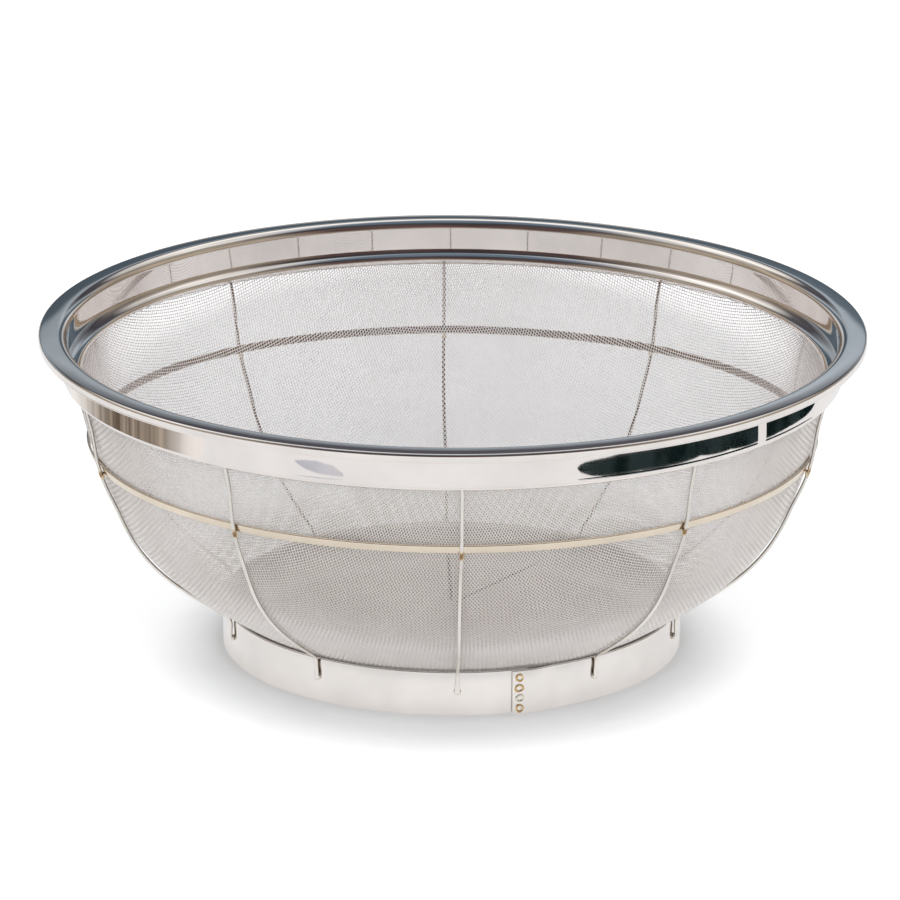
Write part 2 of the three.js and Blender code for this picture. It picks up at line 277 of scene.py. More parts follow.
# The weave: two families of threads laid on the bowl as a net of equal rhombs
def weave_nodes():
    """Crossings of the threads, marched out from the middle of the floor.

    The two starting threads follow meridians, a pitch between crossings. Each further crossing is the
    point of the bowl's surface that lies one pitch from its two nearer neighbours, found by Newton steps.
    One quarter is marched, a diagonal of crossings at a time, and the other three are that quarter turned
    about the axis.
    """
    profile = bowl_profile()
    radius = np.linspace(0, profile[-1, 0], 6000)
    height = np.interp(radius, profile[:, 0], profile[:, 1])
    slope = np.gradient(height, radius)
    length = np.r_[0, np.cumsum(np.hypot(np.diff(radius), np.diff(height)))]
    count = int(length[-1] / WIRE_PITCH)
    nodes = np.full((count + 1, count + 1, 3), np.nan)
    reach = np.interp(np.arange(count + 1) * WIRE_PITCH, length, radius)
    rise = np.interp(reach, radius, height)
    nodes[:, 0] = np.stack([reach, 0 * reach, rise], 1)
    nodes[0, :] = np.stack([0 * reach, reach, rise], 1)
    for diagonal in range(2, 2 * count + 1):
        i = np.arange(max(1, diagonal - count), min(count, diagonal - 1) + 1)
        j = diagonal - i
        a, b, o = nodes[i - 1, j], nodes[i, j - 1], nodes[i - 1, j - 1]
        known = np.isfinite(a + b + o).all(1)
        if not known.any():
            continue
        i, j, a, b, o = i[known], j[known], a[known], b[known], o[known]
        c = a + b - o
        for _ in range(12):
            r = np.maximum(np.hypot(c[:, 0], c[:, 1]), 1e-9)
            tilt = np.interp(r, radius, slope)
            miss = np.stack([
                ((c - a) ** 2).sum(1) - WIRE_PITCH**2,
                ((c - b) ** 2).sum(1) - WIRE_PITCH**2,
                (c[:, 2] - np.interp(r, radius, height)) * WIRE_PITCH,
            ], 1)
            up = np.stack([-tilt * c[:, 0] / r, -tilt * c[:, 1] / r, np.ones_like(r)], 1) * WIRE_PITCH
            change = np.linalg.solve(np.stack([2 * (c - a), 2 * (c - b), up], 1), miss[..., None])[..., 0]
            size = np.linalg.norm(change, axis=1, keepdims=True)
            c = c - change * np.minimum(1, 0.4 * WIRE_PITCH / np.maximum(size, 1e-12))
        r = np.hypot(c[:, 0], c[:, 1])
        good = (r < radius[-1]) & (((c - o) ** 2).sum(1) > (0.5 * WIRE_PITCH) ** 2)
        nodes[i[good], j[good]] = c[good]
    full = np.full((2 * count + 1, 2 * count + 1, 3), np.nan)
    i, j = np.nonzero(np.isfinite(nodes[..., 0]))
    for turn in range(4):
        angle = WIRE_BIAS + turn * math.pi / 2
        cosine, sine = math.cos(angle), math.sin(angle)
        spin = np.array([[cosine, -sine, 0], [sine, cosine, 0], [0, 0, 1]])
        u, v = [(i, j), (-j, i), (-i, -j), (j, -i)][turn]
        full[u + count, v + count] = nodes[i, j] @ spin.T
    r = np.hypot(full[..., 0], full[..., 1])
    tilt = np.interp(r, radius, slope)
    normal = np.stack([tilt * full[..., 0], tilt * full[..., 1], -r], -1)
    normal[r < 1e-9] = (0, 0, -1)
    normal /= np.linalg.norm(normal, axis=-1, keepdims=True)
    return full, normal


def threads(name, nodes, normal, over, material, pieces):
    """Tubes of four sides along the first index of the crossings, rising over and dipping under by turns.

    A ring's middle is its crossing moved along the surface normal by half a wire, up or down by the
    parity of the crossing. The ring's corners lie on the normal and beside the thread.
    """
    half = WIRE_DIAMETER / 2
    corner = 0.555 * WIRE_DIAMETER  # a square section that looks as wide as the round wire
    rows, columns = nodes.shape[:2]
    parity = np.where((np.arange(rows)[:, None] + np.arange(columns)) % 2 == over, 1.0, -1.0)
    middle = nodes + normal * (parity * half)[..., None]
    ahead = np.vstack([nodes[1:], nodes[-1:]])
    behind = np.vstack([nodes[:1], nodes[:-1]])
    along = np.where(np.isfinite(ahead), ahead, nodes) - np.where(np.isfinite(behind), behind, nodes)
    side = np.cross(along, normal)
    side /= np.maximum(np.linalg.norm(side, axis=-1, keepdims=True), 1e-12)
    there = np.isfinite(nodes[..., 0])
    total = np.cumsum(there.sum(0))
    made = []
    for piece in range(pieces):
        share = (total > total[-1] * piece / pieces) & (total <= total[-1] * (piece + 1) / pieces)
        mask = there & share[None, :]
        index = np.cumsum(mask.ravel()).reshape(mask.shape) - 1
        m, n, s = middle[mask], normal[mask], side[mask]
        rings = np.stack([m + n * corner, m + s * corner, m - n * corner, m - s * corner], 1)
        joined = mask[:-1] & mask[1:]
        first, second = index[:-1][joined] * 4, index[1:][joined] * 4
        sides = [(k, (k + 1) % 4) for k in range(4)]
        faces = [np.stack([first + k, first + after, second + after, second + k], 1) for k, after in sides]
        label = f"{name}_{piece + 1}"
        made.append(new_piece(label, rings.reshape(-1, 3), np.vstack(faces), material, sharp=0))
    return made


# Belt, ribs, foot and welds
def capped(rings):
    """Rings of points along a path, each end closed by a ring drawn together at its middle."""
    ends = [end.mean(1, keepdims=True).repeat(rings.shape[1], 1) for end in (rings[:1], rings[-1:])]
    return np.concatenate([ends[0], rings, ends[1]])


def rounded_bar(width, height, radius, steps=4):
    """The outline of a bar with round edges, about its middle: (across, up), counter-clockwise."""
    w, h = width / 2, height / 2
    r = min(radius, w, h)
    corners = [((w - r, -h), (w, -h), (w, -h + r)), ((w, h - r), (w, h), (w - r, h)),
               ((-w + r, h), (-w, h), (-w, h - r)), ((-w, -h + r), (-w, -h), (-w + r, -h))]
    return np.vstack([quarter(*c, steps) for c in corners])


def belt_section():
    """The belt's bar, leaned to lie along the wall."""
    middle = wall_beside(belt_share, CLEARANCE + BELT_THICKNESS / 2)
    up = wall_points(belt_share + 1e-4) - wall_points(belt_share - 1e-4)
    up /= np.linalg.norm(up)
    bar = rounded_bar(BELT_THICKNESS, BELT_WIDTH, BELT_EDGE)
    return middle + bar[:, :1] * np.array([up[1], -up[0]]) + bar[:, 1:] * up


def belt_rise(facing):
    """How far the belt stands above its level, by the outward direction's y: all in front, none behind."""
    return BELT_RISE * (1 - facing) / 2


def rise_with(piece):
    """Lift a ring along the wall by belt_rise: outward as the wall leans, and up."""
    points = np.empty(len(piece.data.vertices) * 3)
    piece.data.vertices.foreach_get("co", points)
    points = points.reshape(-1, 3)
    radius = np.hypot(points[:, 0], points[:, 1])
    lift = belt_rise(points[:, 1] / radius)
    lean = wall_points(belt_share + 1e-3) - wall_points(belt_share - 1e-3)
    scale = 1 + lift * (lean[0] / lean[1]) / radius
    points[:, :2] *= scale[:, None]
    points[:, 2] += lift
    piece.data.vertices.foreach_set("co", points.ravel())
    piece.data.update()


def rib_beside(share):
    """The middle of a rib's wire beside the wall: near the mesh, and raised where it crosses the belt."""
    share = np.asarray(share, float)
    away = np.minimum(np.abs(wall_points(share)[..., 1] - BELT_LEVEL) / RIB_STEP, 1)
    raised = (1 - away**2) ** 2 * (BELT_THICKNESS + CLEARANCE)
    return wall_beside(share, (CLEARANCE + RIB_DIAMETER / 2 + raised)[..., None])


def rib_line():
    """The middle of a rib's wire, as (radius, height): beside the wall, then bent down on the foot."""
    hook_radius = FOOT_RADIUS + CLEARANCE + RIB_DIAMETER / 2
    top = hem_bottom - RIM_SHEET / 2 - CLEARANCE
    beside = rib_beside(fine_share)
    first = np.interp(top, beside[:, 1], fine_share)
    last = np.interp(hook_radius + 2 * RIB_DIAMETER, beside[:, 0], fine_share)
    line = rib_beside(np.linspace(first, last, 90))
    end = line[-1]
    bend = np.array([hook_radius, end[1] - (end[0] - hook_radius) * math.tan(WALL_FOOT_ANGLE)])
    lower = bend - (0, 2 * RIB_DIAMETER)
    s = np.linspace(0, 1, 10)[1:, None]
    curve = end * (1 - s) ** 2 + 2 * bend * s * (1 - s) + lower * s * s
    tail = np.linspace(lower, (hook_radius, FOOT_HEIGHT - RIB_HOOK), 8)[1:]
    return np.vstack([line, curve, tail])


def rib(name, angle, seed, material):
    """A round wire along the rib's line, swaying a little sideways, pressed flat at its welded end."""
    rng = np.random.default_rng(seed)
    line = rib_line()
    step = np.gradient(line, axis=0)
    step /= np.linalg.norm(step, axis=1)[:, None]
    out = np.stack([-step[:, 1], step[:, 0]], 1)
    length = np.r_[0, np.cumsum(np.linalg.norm(np.diff(line, axis=0), axis=1))]
    share = length / length[-1]
    phase = share * rng.uniform(0.7, 1.3) + rng.uniform()
    sway = RIB_SWAY * np.sin(2 * np.pi * phase) * np.sin(np.pi * share)
    flat = np.clip((share - 0.955) / 0.03, 0, 1)
    flat = flat * flat * (3 - 2 * flat)
    turn = np.linspace(0, 2 * np.pi, RIB_SIDES, endpoint=False)
    wide = RIB_DIAMETER / 2 * (1 + 0.45 * flat)[:, None] * np.cos(turn)
    deep = RIB_DIAMETER / 2 * (1 - 0.35 * flat)[:, None] * np.sin(turn)
    r = line[:, :1] + out[:, :1] * deep
    z = line[:, 1:] + out[:, 1:] * deep
    across = sway[:, None] + wide
    x = np.sin(angle) * r + np.cos(angle) * across
    y = -np.cos(angle) * r + np.sin(angle) * across
    points = capped(np.stack([x, y, z], -1))
    faces = grid_faces(len(points), RIB_SIDES, False, True)
    return new_piece(name, points.reshape(-1, 3), faces, material)


def foot_ring(name, material):
    """One strip rolled into a ring: its round-edged section at each station, lifted where the ends lap."""
    lap = LAP_LENGTH / FOOT_RADIUS
    ease = math.radians(6)
    lapped = np.linspace(LAP_ANGLE, LAP_ANGLE + lap + ease, 24)
    last = 2 * math.pi + LAP_ANGLE + lap - ease / 4
    angles = np.r_[lapped, np.linspace(LAP_ANGLE + lap + ease, last, COLUMNS)[1:]]
    rise = np.clip(1 - (angles - LAP_ANGLE - lap) / ease, 0, 1)
    lift = (FOOT_STRIP + CLEARANCE) * rise * rise * (3 - 2 * rise)
    bar = rounded_bar(FOOT_STRIP, FOOT_HEIGHT, FOOT_STRIP * 0.45)
    section = bar + (FOOT_RADIUS - FOOT_STRIP / 2, FOOT_HEIGHT / 2)
    points = around(section, angles)
    points[..., 0] += np.sin(angles)[:, None] * lift[:, None]
    points[..., 1] -= np.cos(angles)[:, None] * lift[:, None]
    points = capped(points)
    faces = grid_faces(len(points), len(section), False, True)
    return new_piece(name, points.reshape(-1, 3), faces, material)


def frame_at(out):
    """Unit vectors across, up and out for a place whose outward direction is given."""
    out = np.asarray(out, float) / np.linalg.norm(out)
    across = np.cross((0, 0, 1), out)
    across /= np.linalg.norm(across)
    return across, np.cross(out, across), out


def lump(centre, out, sizes, rng, burn, rows=10, columns=16):
    """A lumpy ball: a sphere stretched along (sideways, up, outward), with low waves on its radius."""
    across, up, out = frame_at(out)
    polar = np.linspace(0, np.pi, rows)[:, None]
    turn = np.linspace(0, 2 * np.pi, columns, endpoint=False)[None, :]
    round_about = 0.12 * np.sin(2 * turn + rng.uniform(0, 6)) * np.sin(polar)
    lengthways = 0.08 * np.sin(3 * polar + rng.uniform(0, 6))
    wave = 1 + round_about + lengthways
    a = wave * np.sin(polar) * np.cos(turn) * sizes[0]
    b = wave * np.sin(polar) * np.sin(turn) * sizes[1]
    c = wave * np.cos(polar) * sizes[2]
    points = np.asarray(centre) + a[..., None] * across + b[..., None] * up + c[..., None] * out
    return points.reshape(-1, 3), grid_faces(rows, columns, False, True), np.full(rows * columns, burn)


def spot(centre, out, radius, rng, depth, heat, rows=14, columns=28):
    """A spot weld: a round dent with a raised ring, as height against the share of its radius.

    The height is a ring at two thirds of the radius less a dent in the middle, falling below the strip at
    the edge. The burn is strongest on the ring and at one side of the dent.
    """
    across, up, out = frame_at(out)
    share = np.linspace(0, 1, rows)[:, None]
    turn = np.linspace(0, 2 * np.pi, columns, endpoint=False)[None, :]
    wobble = 1 + 0.06 * np.sin(2 * turn + rng.uniform(0, 6)) + 0.04 * np.sin(3 * turn + rng.uniform(0, 6))
    ring = np.exp(-(((share - 0.66) / 0.17) ** 2))
    dent = np.exp(-((share / 0.38) ** 2))
    height = depth * (0.9 * ring - 0.8 * dent) + 0.05 * MM - 0.2 * MM * share**6 + 0 * turn
    lean = 0.5 + 0.5 * np.cos(turn - rng.uniform(1.5, 3.0))
    on_ring = 0.62 * np.exp(-(((share - 0.72) / 0.2) ** 2))
    in_dent = 0.9 * lean * np.exp(-(((share - 0.3) / 0.16) ** 2))
    burn = heat * (on_ring + in_dent)
    reach = radius * share * wobble
    a, b = reach * np.cos(turn), reach * np.sin(turn)
    points = np.asarray(centre) + a[..., None] * across + b[..., None] * up + height[..., None] * out
    return points.reshape(-1, 3), grid_faces(rows, columns, False, True), burn.ravel()


def joined(name, parts, material):
    """Several grids as one object, with their burn kept as an attribute."""
    starts = np.cumsum([0] + [len(points) for points, _, _ in parts])
    faces = np.vstack([quads + start for (_, quads, _), start in zip(parts, starts)])
    piece = new_piece(name, np.vstack([points for points, _, _ in parts]), faces, material)
    burn = piece.data.attributes.new("burn", "FLOAT", "POINT")
    burn.data.foreach_set("value", np.concatenate([heat for _, _, heat in parts]).astype(np.float32))
    return piece


# Nodes
def put(tree, kind, inputs=None, **settings):
    """A new node: settings are its options, inputs its sockets by name or number, as values or links."""
    node = tree.nodes.new(kind if kind.startswith("NodeGroup") else "ShaderNode" + kind)
    for key, value in settings.items():
        setattr(node, key, value)
    for key, value in (inputs or {}).items():
        if isinstance(value, bpy.types.NodeSocket):
            tree.links.new(value, node.inputs[key])
        else:
            node.inputs[key].default_value = value
    return node


def calc(tree, operation, *values):
    """A Math node on values or sockets, and its result."""
    return put(tree, "Math", dict(enumerate(values)), operation=operation).outputs[0]


def product(tree, first, *others):
    """Several values or sockets multiplied together."""
    for other in others:
        first = calc(tree, "MULTIPLY", first, other)
    return first


def hypotenuse(tree, a, b):
    """The square root of a squared plus b squared."""
    return calc(tree, "SQRT", calc(tree, "ADD", product(tree, a, a), product(tree, b, b)))


def vector(tree, operation, *values):
    """A Vector Math node on vectors, and its result: a number for a dot product or a length."""
    node = put(tree, "VectorMath", dict(enumerate(values)), operation=operation)
    return node.outputs["Value" if operation in ("DOT_PRODUCT", "LENGTH") else "Vector"]


def noise(tree, place, scale, detail):
    """A noise texture's value at a place."""
    return put(tree, "TexNoise", {"Vector": place, "Scale": scale, "Detail": detail}).outputs["Fac"]


def spread(tree, value, low, high, to_low=0.0, to_high=1.0, smooth=False):
    """A value mapped from one range to another, held at the ends."""
    kind = "SMOOTHSTEP" if smooth else "LINEAR"
    inputs = {"Value": value, "From Min": low, "From Max": high, "To Min": to_low, "To Max": to_high}
    return put(tree, "MapRange", inputs, interpolation_type=kind).outputs["Result"]


def blend(tree, factor, first, second):
    """Two colours mixed by a factor."""
    return put(tree, "Mix", {0: factor, 6: first, 7: second}, data_type="RGBA").outputs[2]


def opaque(colour, level=1.0):
    """A colour of three numbers, at a level, with an alpha."""
    return (*(part * level for part in colour), 1)


def new_group(name, inputs, outputs):
    """A shader node group with number inputs by name and outputs by name and kind."""
    tree = bpy.data.node_groups.new(name, "ShaderNodeTree")
    for label, value in inputs.items():
        tree.interface.new_socket(label, in_out="INPUT", socket_type="NodeSocketFloat").default_value = value
    for label, kind in outputs.items():
        tree.interface.new_socket(label, in_out="OUTPUT", socket_type="NodeSocket" + kind)
    return tree, put(tree, "NodeGroupInput").outputs, put(tree, "NodeGroupOutput")


def use_group(tree, group, **values):
    """A group placed in a tree, with values for its inputs: underscores stand for spaces."""
    node = put(tree, "Group", node_tree=group)
    for key, value in values.items():
        node.inputs[key.replace("_", " ")].default_value = value
    return node.outputs


def cylindrical(tree):
    """Object coordinates as the turn from the front, the radius and the height, and the plain point."""
    place = put(tree, "TexCoord").outputs["Object"]
    x, y, z = put(tree, "SeparateXYZ", {0: place}).outputs
    turn = calc(tree, "ARCTAN2", x, product(tree, y, -1.0))
    return turn, hypotenuse(tree, x, y), z, place


def polish_group():
    """Polished sheet: marks that run round the axis, cloudiness, and the long low waves of pressed steel."""
    tree, given, out = new_group("polish", {"Fineness": 2400.0, "Cloud Scale": 45.0, "Wave Scale": 24.0},
                                 {"Marks": "Float", "Cloud": "Float", "Wave": "Float"})
    turn, radius, height, place = cylindrical(tree)
    run = put(tree, "CombineXYZ", {0: product(tree, turn, 5.0),
                                   1: product(tree, radius, given["Fineness"]),
                                   2: product(tree, height, given["Fineness"])}).outputs[0]
    marks = noise(tree, run, 1.0, 2.0)
    cloud = noise(tree, place, given["Cloud Scale"], 3.0)
    wave = noise(tree, place, given["Wave Scale"], 0.6)
    for label, socket in (("Marks", marks), ("Cloud", cloud), ("Wave", wave)):
        tree.links.new(socket, out.inputs[label])
    return tree


def heat_group():
    """Heat tint beside a row of welds, one at each rib: a mask that falls off all round, and its colour."""
    tree, given, out = new_group("weld_heat", {"Level": 0.0, "Reach": 0.003, "Side": 0.003},
                                 {"Mask": "Float", "Tint": "Color"})
    turn, radius, height, place = cylindrical(tree)
    step = calc(tree, "WRAP", product(tree, turn, RIB_COUNT / (2 * math.pi)), 0.5, -0.5)
    side = calc(tree, "DIVIDE", product(tree, step, 2 * math.pi / RIB_COUNT, radius), given["Side"])
    rise = calc(tree, "DIVIDE", calc(tree, "SUBTRACT", height, given["Level"]), given["Reach"])
    uneven = spread(tree, noise(tree, place, 420.0, 2.0), 0.3, 0.7, -0.3, 0.3)
    apart = calc(tree, "ADD", hypotenuse(tree, side, rise), uneven)
    mask = spread(tree, apart, 0.3, 1.25, 1.0, 0.0, True)
    tint = put(tree, "ValToRGB", {0: mask})
    ramp = tint.color_ramp.elements
    ramp[0].color = (0.80, 0.68, 0.47, 1)
    ramp[1].color = (0.33, 0.21, 0.11, 1)
    ramp.new(0.45).color = (0.72, 0.54, 0.29, 1)
    ramp.new(0.75).color = (0.55, 0.36, 0.17, 1)
    tree.links.new(mask, out.inputs["Mask"])
    tree.links.new(tint.outputs["Color"], out.inputs["Tint"])
    return tree


def inner_side_group():
    """A mask that is 1 on faces turned to the axis and 0 on faces turned away from it: where the belt and
    ribs take painted shade.
    """
    tree, _, out = new_group("inner_side", {}, {"Mask": "Float"})
    place = put(tree, "TexCoord").outputs["Object"]
    radial = vector(tree, "NORMALIZE", vector(tree, "MULTIPLY", place, (1, 1, 0)))
    facing = vector(tree, "DOT_PRODUCT", put(tree, "NewGeometry").outputs["Normal"], radial)
    tree.links.new(spread(tree, facing, -0.6, 0.0, 1.0, 0.0, True), out.inputs["Mask"])
    return tree


# Materials
polish = polish_group()
weld_heat = heat_group()
inner_side = inner_side_group()


def node_material(name):
    """A new material and its node tree and Principled shader."""
    material = bpy.data.materials.new(name)
    material.use_nodes = True
    tree = material.node_tree
    return material, tree, tree.nodes["Principled BSDF"]


def steel(name, colour, roughness, wave, heats=(), inside=None, cloudy=0.05):
    """Bright steel: clouded colour, polishing marks, low waves, heat tint and a darker side to the axis,
    which is painted shade.

    The wave is the height of the sheet's long waves in metres. Each heat is a level, a reach up and down
    and a reach sideways, in metres.
    """
    material, tree, shader = node_material(name)
    marks, cloud, waves = use_group(tree, polish)
    shades = opaque(colour, 1 - cloudy), opaque(colour, 1 + cloudy)
    base = blend(tree, spread(tree, cloud, 0.3, 0.7), *shades)
    rough = spread(tree, marks, 0.25, 0.75, roughness * 0.6, roughness * 1.4)
    for level, reach, side in heats:
        mask, tint = use_group(tree, weld_heat, Level=level, Reach=reach, Side=side)
        base = blend(tree, mask, base, tint)
        rough = calc(tree, "ADD", rough, product(tree, mask, 0.15))
    # Painted shade: faces turned to the axis take the darker inside colour.
    if inside:
        base = blend(tree, use_group(tree, inner_side)["Mask"], base, opaque(inside))
    tree.links.new(base, shader.inputs["Base Color"])
    tree.links.new(rough, shader.inputs["Roughness"])
    shader.inputs["Metallic"].default_value = 1
    bump = put(tree, "Bump", {"Strength": 1.0, "Distance": wave, "Height": waves})
    tree.links.new(bump.outputs["Normal"], shader.inputs["Normal"])
    return material


foot_weld_level = FOOT_HEIGHT - RIB_HOOK
belt_heat = (BELT_LEVEL - BELT_WIDTH / 2, 2.2 * MM, 2.0 * MM)
rim_steel = steel("rim_steel", (0.87, 0.82, 0.785), 0.025, 0.00012)
foot_steel = steel("foot_steel", (0.82, 0.785, 0.755), 0.12, 0.00010)
# The last colour given to the belt and the ribs is painted shade on their sides turned to the axis.
belt_steel = steel("belt_steel", (0.82, 0.715, 0.585), 0.16, 0.00006, [belt_heat], (0.40, 0.32, 0.24))
rib_steel = steel("rib_steel", (0.80, 0.765, 0.72), 0.20, 0.00003, [belt_heat], (0.29, 0.24, 0.19))


# Painted light: the wire's outside is a lighter, warmer copy of its inside colour, standing in for the light
# that falls on it.
WIRE_OUTSIDE = (0.95, 0.915, 0.89)
WIRE_INSIDE = (0.88, 0.85, 0.865)
WIRE_CLOUD = (0.45, 0.42, 0.41)
SHADE_LOW_NEAR = (0.10, 0.075, 0.06)  # painted shade low inside, at the front
SHADE_LOW_FAR = (0.43, 0.375, 0.34)  # painted shade low inside, from the middle back
# Painted shade along two lines over the floor
SHADE_LINE_DARK = (0.07, 0.045, 0.03)


def shade_line_mask(tree, place, angle):
    """1 on a thin line over the floor that runs out at an angle, from near the axis to near the foot, where
    shade is painted.
    """
    along = vector(tree, "DOT_PRODUCT", place, tuple(outward_at(angle)))
    apart = vector(tree, "DOT_PRODUCT", place, tuple(outward_at(angle + math.pi / 2)))
    thin = spread(tree, calc(tree, "ABSOLUTE", apart), 0.4 * MM, 0.9 * MM, 1.0, 0.0)
    begun = spread(tree, along, 2 * MM, 6 * MM)
    return product(tree, thin, begun, spread(tree, along, 55 * MM, 62 * MM, 1.0, 0.0))


def woven_steel():
    """Drawn wire: an outside painted lighter and warmer than the inside, painted shade low inside, and
    painted shade along two lines that run out over the floor.
    """
    material, tree, shader = node_material("mesh_steel")
    marks, cloud, _ = use_group(tree, polish, Cloud_Scale=60.0)
    place = put(tree, "TexCoord").outputs["Object"]
    _, backward, height = put(tree, "SeparateXYZ", {0: place}).outputs
    inward = vector(tree, "NORMALIZE", vector(tree, "SUBTRACT", (0, 0, HEIGHT), place))
    facing = vector(tree, "DOT_PRODUCT", put(tree, "NewGeometry").outputs["Normal"], inward)
    inside = spread(tree, facing, -0.3, 0.4, smooth=True)
    # Painted light: outside and inside faces take the two copies of the wire's colour.
    base = blend(tree, inside, opaque(WIRE_OUTSIDE), opaque(WIRE_INSIDE))
    # Painted shade low inside the bowl: darkest at the front, lighter from the middle back.
    low = product(tree, inside, spread(tree, height, 34 * MM, 21 * MM, smooth=True))
    to_far = spread(tree, backward, -85 * MM, -20 * MM, smooth=True)
    base = blend(tree, low, base, blend(tree, to_far, opaque(SHADE_LOW_NEAR), opaque(SHADE_LOW_FAR)))
    # Painted shade along two lines over the floor.
    for angle in SHADE_LINE_ANGLES:
        base = blend(tree, shade_line_mask(tree, place, angle), base, opaque(SHADE_LINE_DARK))
    base = blend(tree, spread(tree, cloud, 0.3, 0.7, 0.0, 0.12), base, opaque(WIRE_CLOUD))
    tree.links.new(base, shader.inputs["Base Color"])
    tree.links.new(spread(tree, marks, 0.25, 0.75, 0.32, 0.48), shader.inputs["Roughness"])
    outer = spread(tree, height, 60 * MM, 35 * MM, 0.45, 0.9)
    gloss = product(tree, outer, spread(tree, inside, 0.0, 1.0, 1.0, 0.15))
    tree.links.new(gloss, shader.inputs["Metallic"])
    return material


mesh_steel = woven_steel()


def weld_material():
    """Fused steel by the piece's own burn: bright at 0, then straw, gold and brown, near black at 1."""
    material, tree, shader = node_material("weld_steel")
    burn = put(tree, "Attribute", attribute_name="burn").outputs["Fac"]
    place = put(tree, "TexCoord").outputs["Object"]
    uneven = noise(tree, place, 900.0, 2.0)
    burn = calc(tree, "ADD", burn, spread(tree, uneven, 0.3, 0.7, -0.12, 0.12))
    tint = put(tree, "ValToRGB", {0: burn})
    ramp = tint.color_ramp.elements
    ramp[0].color = (0.80, 0.78, 0.75, 1)
    ramp[1].color = (0.03, 0.03, 0.035, 1)
    ramp.new(0.3).color = (0.78, 0.66, 0.44, 1)
    ramp.new(0.6).color = (0.60, 0.38, 0.14, 1)
    ramp.new(0.8).color = (0.25, 0.14, 0.06, 1)
    tree.links.new(tint.outputs["Color"], shader.inputs["Base Color"])
    tree.links.new(spread(tree, uneven, 0.3, 0.7, 0.18, 0.38), shader.inputs["Roughness"])
    shader.inputs["Metallic"].default_value = 1
    return material


weld_steel = weld_material()


def dress(piece, slot, *nodes):
    """The piece rides on the object and stands for the CAD nodes it names, which are hidden; the slot is not
    used.
    """
    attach(piece, "root")
    if nodes:
        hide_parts(*nodes)


dress(turned("rim_band_fine", rim_band_section(), rim_steel), "rim_steel", "rim_band")
dress(turned("rim_skirt_fine", rim_skirt_section(), rim_steel), "rim_steel", "rim_skirt")
belt = turned("belt_fine", belt_section(), belt_steel)
rise_with(belt)
dress(belt, "belt_steel", "belt_band")
dress(foot_ring("foot_fine", foot_steel), "foot_steel", "foot_ring")
rib_angles = np.arange(RIB_COUNT) * 2 * np.pi / RIB_COUNT
for index, angle in enumerate(rib_angles):
    label = f"rib_{index + 1:02d}"
    dress(rib(f"{label}_fine", angle, index, rib_steel), "wire_steel", label)
crossings, outward = weave_nodes()
warp = threads("mesh_warp", crossings, outward, 0, mesh_steel, WEAVE_PIECES)
crossings, outward = crossings.swapaxes(0, 1), outward.swapaxes(0, 1)
weft = threads("mesh_weft", crossings, outward, 1, mesh_steel, WEAVE_PIECES)
for piece in warp + weft:
    dress(piece, "mesh_steel", "mesh_bowl")

# Welds: a golden bead under the belt at each rib, a bright dab at each hook's end, four spots on the lap
BELT_BEAD = np.array([1.05, 1.5, 0.7]) * MM  # half sizes sideways, up and outward
FOOT_DAB = np.array([1.35, 1.3, 0.8]) * MM
BEAD_BURN = 0.26
DAB_BURN = 0.03
SPOT_DEPTH = 0.28 * MM
SPOT_INSET = 2.6  # millimetres from the strip's end
# Spots on the lap from the top down: height and radius in millimetres, and heat
LAP_SPOTS = ((14.5, 1.9, 0.95), (10.3, 2.05, 1.0), (6.3, 1.95, 0.2), (2.2, 1.95, 1.0))

rng = np.random.default_rng(7)
belt_point = wall_beside(belt_share, 2 * CLEARANCE + BELT_THICKNESS)
belt_welds, foot_welds = [], []
for angle in rib_angles:
    out = outward_at(angle)
    height = belt_point[1] - BELT_WIDTH * 0.78 + belt_rise(out[1])
    size = BELT_BEAD * rng.uniform(0.85, 1.15)
    shift = np.cross((0, 0, 1), out) * rng.uniform(-0.3, 0.3) * MM
    place = out * (belt_point[0] - 0.35 * MM) + shift + (0, 0, height)
    belt_welds.append(lump(place, out, size, rng, BEAD_BURN))
    end = out * (FOOT_RADIUS + 0.5 * MM) + (0, 0, foot_weld_level + 0.3 * MM)
    foot_welds.append(lump(end, out, FOOT_DAB, rng, DAB_BURN))
dress(joined("belt_welds", belt_welds, weld_steel), "wire_steel")
dress(joined("foot_welds", foot_welds, weld_steel), "foot_steel")
lap_face = FOOT_RADIUS + FOOT_STRIP + CLEARANCE
lap_spots = []
for height, radius, heat in LAP_SPOTS:
    angle = LAP_ANGLE + (SPOT_INSET + rng.uniform(-0.2, 0.2)) * MM / lap_face
    out = outward_at(angle)
    place = out * lap_face + (0, 0, height * MM)
    lap_spots.append(spot(place, out, radius * MM, rng, SPOT_DEPTH, heat))
dress(joined("lap_welds", lap_spots, weld_steel), "foot_steel")


# Stage: a white floor, and dark, lavender and beige cards beside the object that only polished steel shows
def flat_piece(name, outline, height, material):
    """A flat stage piece from its outline, a list of (x, y)."""
    mesh = bpy.data.meshes.new(name)
    mesh.from_pydata([(x, y, height) for x, y in outline], [], [tuple(range(len(outline)))])
    mesh.materials.append(material)
    piece = bpy.data.objects.new(name, mesh)
    bpy.context.scene.collection.objects.link(piece)
    return piece


FLOOR_HALF = 6.0
FLOOR_COLOUR = (0.765, 0.785, 0.805)
FOOT_SHADE_COLOUR = (0.16, 0.14, 0.125)  # painted shade on the floor inside the foot
FLOOR_FILL = 0.42  # lift to white outside the pools of painted shadow, for the camera alone
MIRROR_FILL = 0.07  # lift in the mirror of the steel, away from the foot
FOOT_FILL = 0.31  # the same, beside the foot
# Strength of the painted shadow round the foot
NEAR_SHARE = 0.8
CARD_HEIGHT = 0.001


